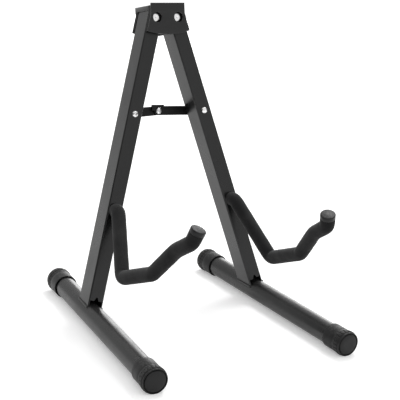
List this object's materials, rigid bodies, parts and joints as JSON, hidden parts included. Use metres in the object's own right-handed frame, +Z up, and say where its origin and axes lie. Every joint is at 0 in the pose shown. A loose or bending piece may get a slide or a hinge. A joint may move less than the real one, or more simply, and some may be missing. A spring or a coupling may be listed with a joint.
{
  "type": "folding guitar stand",
  "caption": "Folding A-frame stand for a guitar: hinged rectangular legs on round base tubes, foam-covered curved support arms and a two-link brace behind the legs.",
  "frame": {"origin": "middle of the stand's footprint, on the surface it stands on", "axes": "-Y to the front, where the guitar sits; +X to the stand's left-hand side seen from behind; +Z up"},
  "size_m": [0.2952, 0.3232, 0.392],
  "materials": {
    "frame_paint": "satin black powder coat",
    "head_paint": "satin black powder coat",
    "link_paint": "semi-matte black",
    "nylon": "matte moulded nylon",
    "pin_steel": "bright zinc plate",
    "plain_steel": "plain zinc plate",
    "foam": "matte closed-cell foam",
    "arm_cap_plastic": "semi-matte moulded",
    "cap_rubber": "matte moulded, with raised pads"
  },
  "bodies": {
    "head": {"hinge_head": "head_paint", "hinge_pad_front": "nylon", "hinge_pad_rear": "nylon", "pivot_pin_left": "pin_steel", "pivot_pin_right": "pin_steel"},
    "left_frame": {"leg_left": "frame_paint", "leg_weld_left": "frame_paint", "base_tube_left": "frame_paint", "foot_cap_front_left": "cap_rubber", "foot_cap_rear_left": "cap_rubber", "arm_rod_left": "frame_paint", "arm_foam_left": "foam", "arm_cap_left": "arm_cap_plastic", "pivot_sleeve_left": "plain_steel", "brace_rivet_left": "pin_steel", "brace_sleeve_left": "plain_steel", "brace_washer_left": "plain_steel"},
    "right_frame": {"leg_right": "frame_paint", "leg_weld_right": "frame_paint", "base_tube_right": "frame_paint", "foot_cap_front_right": "cap_rubber", "foot_cap_rear_right": "cap_rubber", "arm_rod_right": "frame_paint", "arm_foam_right": "foam", "arm_cap_right": "arm_cap_plastic", "pivot_sleeve_right": "plain_steel", "brace_rivet_right": "pin_steel", "brace_sleeve_right": "plain_steel", "brace_washer_right": "plain_steel"},
    "brace_left": {"brace_link_left": "link_paint", "brace_tail_mid": "pin_steel"},
    "brace_right": {"brace_link_right": "link_paint", "brace_rivet_mid": "pin_steel"}
  },
  "joints": [
    {"name": "left_fold", "type": "hinge", "parent": "head", "child": "left_frame", "pos_m": [-0.015, 0.12577, 0.36944], "axis": [0, -0.9744, 0.225], "range_deg": [0, 15.5]},
    {"name": "right_fold", "type": "hinge", "parent": "head", "child": "right_frame", "pos_m": [0.015, 0.12577, 0.36944], "axis": [0, 0.9744, -0.225], "range_deg": [0, 15.5]},
    {"name": "brace_left_fold", "type": "hinge", "parent": "left_frame", "child": "brace_left", "pos_m": [-0.04997, 0.09887, 0.25292], "axis": [0, -0.9744, 0.225], "range_deg": [0, 52.7]},
    {"name": "brace_right_fold", "type": "hinge", "parent": "right_frame", "child": "brace_right", "pos_m": [0.04997, 0.09887, 0.25292], "axis": [0, 0.9744, -0.225], "range_deg": [0, 52.7]}
  ],
  "couplings": [
    {"joint": "right_fold", "follows": "left_fold", "ratio": 1},
    {"joint": "brace_left_fold", "follows": "left_fold", "ratio": 3.3969},
    {"joint": "brace_right_fold", "follows": "left_fold", "ratio": 3.3969}
  ]
}
